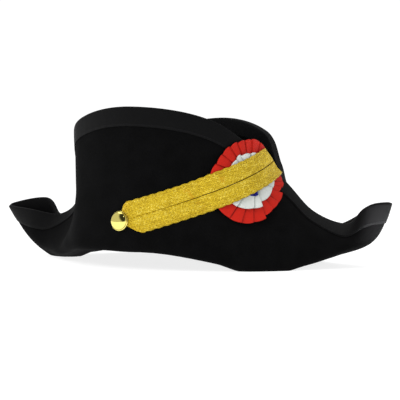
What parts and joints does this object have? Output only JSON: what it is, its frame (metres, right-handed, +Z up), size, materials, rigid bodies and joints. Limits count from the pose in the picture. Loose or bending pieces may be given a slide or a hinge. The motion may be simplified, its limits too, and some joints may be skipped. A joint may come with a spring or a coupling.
{
  "type": "bicorne hat",
  "caption": "Black felt bicorne worn side to side: round crown between two standing flaps, upturned horns, bound edge, pleated three-colour cockade, doubled gold braid and domed button",
  "frame": {"origin": "middle of the hat's footprint, on the surface that it rests on", "axes": "+X to the right horn as seen from the cockade's side, -Y out of the flap with the cockade, +Z up"},
  "size_m": [0.445, 0.253, 0.1566],
  "materials": {
    "felt_black": "matte wool felt",
    "ribbon_black": "ribbed grosgrain ribbon",
    "ribbon_red": "satin ribbon",
    "ribbon_white": "satin ribbon",
    "ribbon_blue": "satin ribbon",
    "braid_gold": "woven metallic thread",
    "button_gold": "polished"
  },
  "bodies": {
    "root": {"felt_body": "felt_black", "rim_binding": "ribbon_black", "cockade_red": "ribbon_red", "cockade_white": "ribbon_white", "cockade_blue": "ribbon_blue", "braid_upper": "braid_gold", "braid_lower": "braid_gold", "button": "button_gold"}
  },
  "joints": []
}
